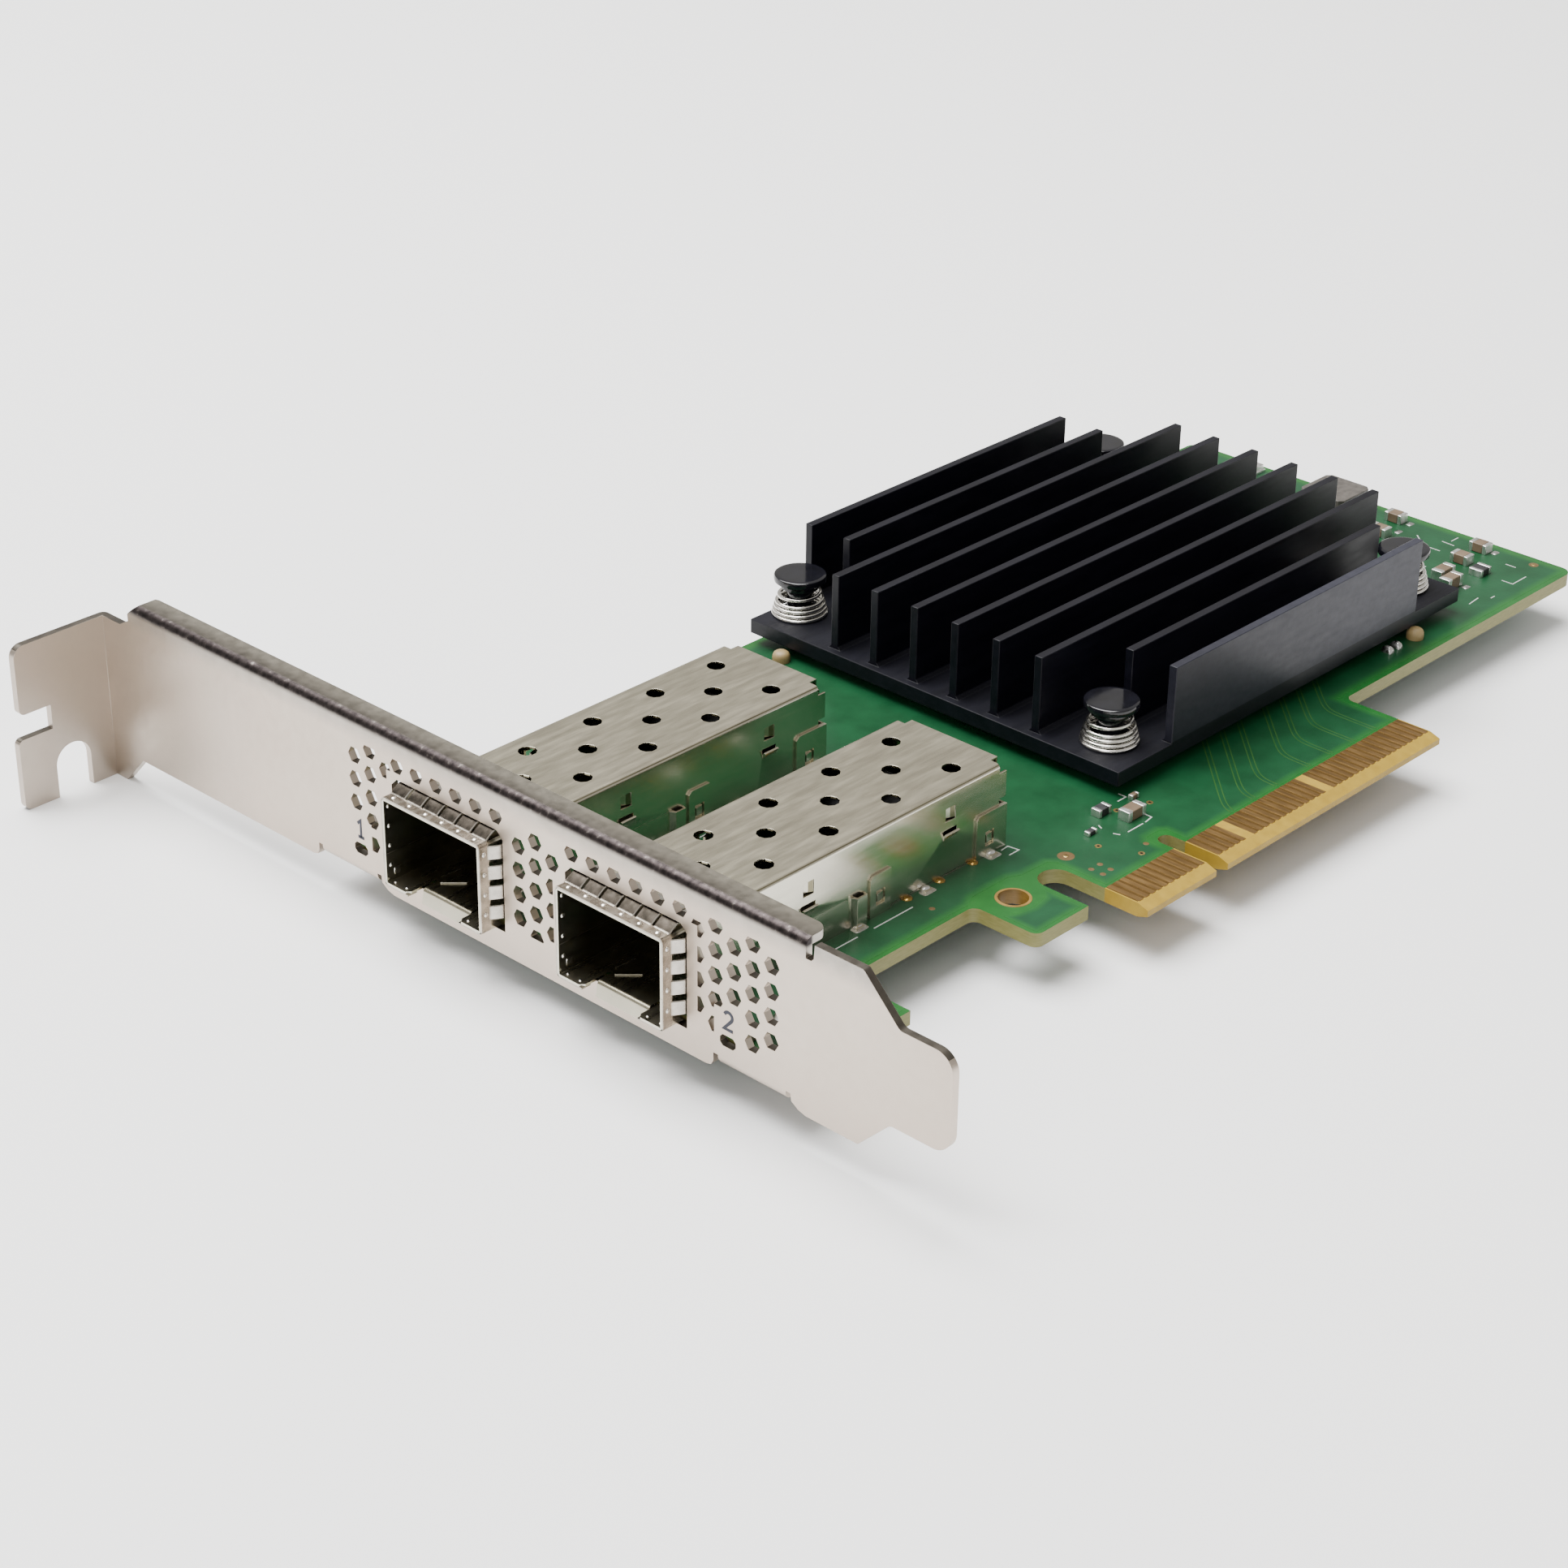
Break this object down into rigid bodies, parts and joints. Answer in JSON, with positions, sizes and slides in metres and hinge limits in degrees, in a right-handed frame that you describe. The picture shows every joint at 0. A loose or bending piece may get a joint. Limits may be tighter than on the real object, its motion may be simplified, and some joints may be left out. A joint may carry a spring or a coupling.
{
  "type": "dual-port network interface card",
  "caption": "Low-height plug-in card with module cages for optical links, a finned heat sink on sprung pins, a slotted mounting bracket and an edge connector that plugs into a server board.",
  "frame": {"origin": "the middle of the edge connector's key notch, at the free edge of the contacts, on the component face of the circuit board", "axes": "+X from the bracket to the rear edge of the card, +Y from the edge contacts to the bracket's screw tab, +Z out of the component face"},
  "size_m": [0.1573, 0.12, 0.0218],
  "materials": {
    "laminate": "green solder mask, satin gloss",
    "gold": "gold plated",
    "bracket_steel": "satin nickel plated",
    "screw_steel": "bright nickel plated",
    "cage_metal": "tin-plated sheet, fine brushing",
    "spring_metal": "bright spring steel",
    "black_plastic": "black moulded nylon",
    "clear_plastic": "clear moulded resin",
    "black_aluminium": "satin black anodised",
    "pad_silicone": "soft grey silicone",
    "chip_resin": "matt black epoxy",
    "tan_silicone": "soft tan silicone",
    "capacitor_ceramic": "fired brown ceramic",
    "tinned_metal": "tinned",
    "ferrite": "grey moulded ferrite"
  },
  "bodies": {
    "root": {"circuit_board": "laminate", "edge_contacts_top": "gold", "edge_contacts_bottom": "gold", "bracket": "bracket_steel", "bracket_screws": "screw_steel", "cage_cover_1": "cage_metal", "cage_cover_2": "cage_metal", "cage_base_1": "cage_metal", "cage_base_2": "cage_metal", "emi_collar_1": "spring_metal", "emi_collar_2": "spring_metal", "sfp_connector_1": "black_plastic", "sfp_connector_2": "black_plastic", "sfp_contacts_1": "gold", "sfp_contacts_2": "gold", "status_led_1": "clear_plastic", "status_led_2": "clear_plastic", "heat_sink": "black_aluminium", "thermal_pad": "pad_silicone", "controller_chip": "chip_resin", "push_pin_1": "black_plastic", "push_pin_2": "black_plastic", "push_pin_3": "black_plastic", "push_pin_4": "black_plastic", "pin_spring_1": "spring_metal", "pin_spring_2": "spring_metal", "pin_spring_3": "spring_metal", "pin_spring_4": "spring_metal", "sink_bumpers": "tan_silicone", "capacitor_bodies": "capacitor_ceramic", "bead_bodies": "chip_resin", "chip_terminals": "tinned_metal", "solder_side_capacitors": "capacitor_ceramic", "power_inductor": "ferrite", "crystal_can": "tinned_metal", "flash_memory": "chip_resin", "flash_leads": "tinned_metal"}
  },
  "joints": []
}
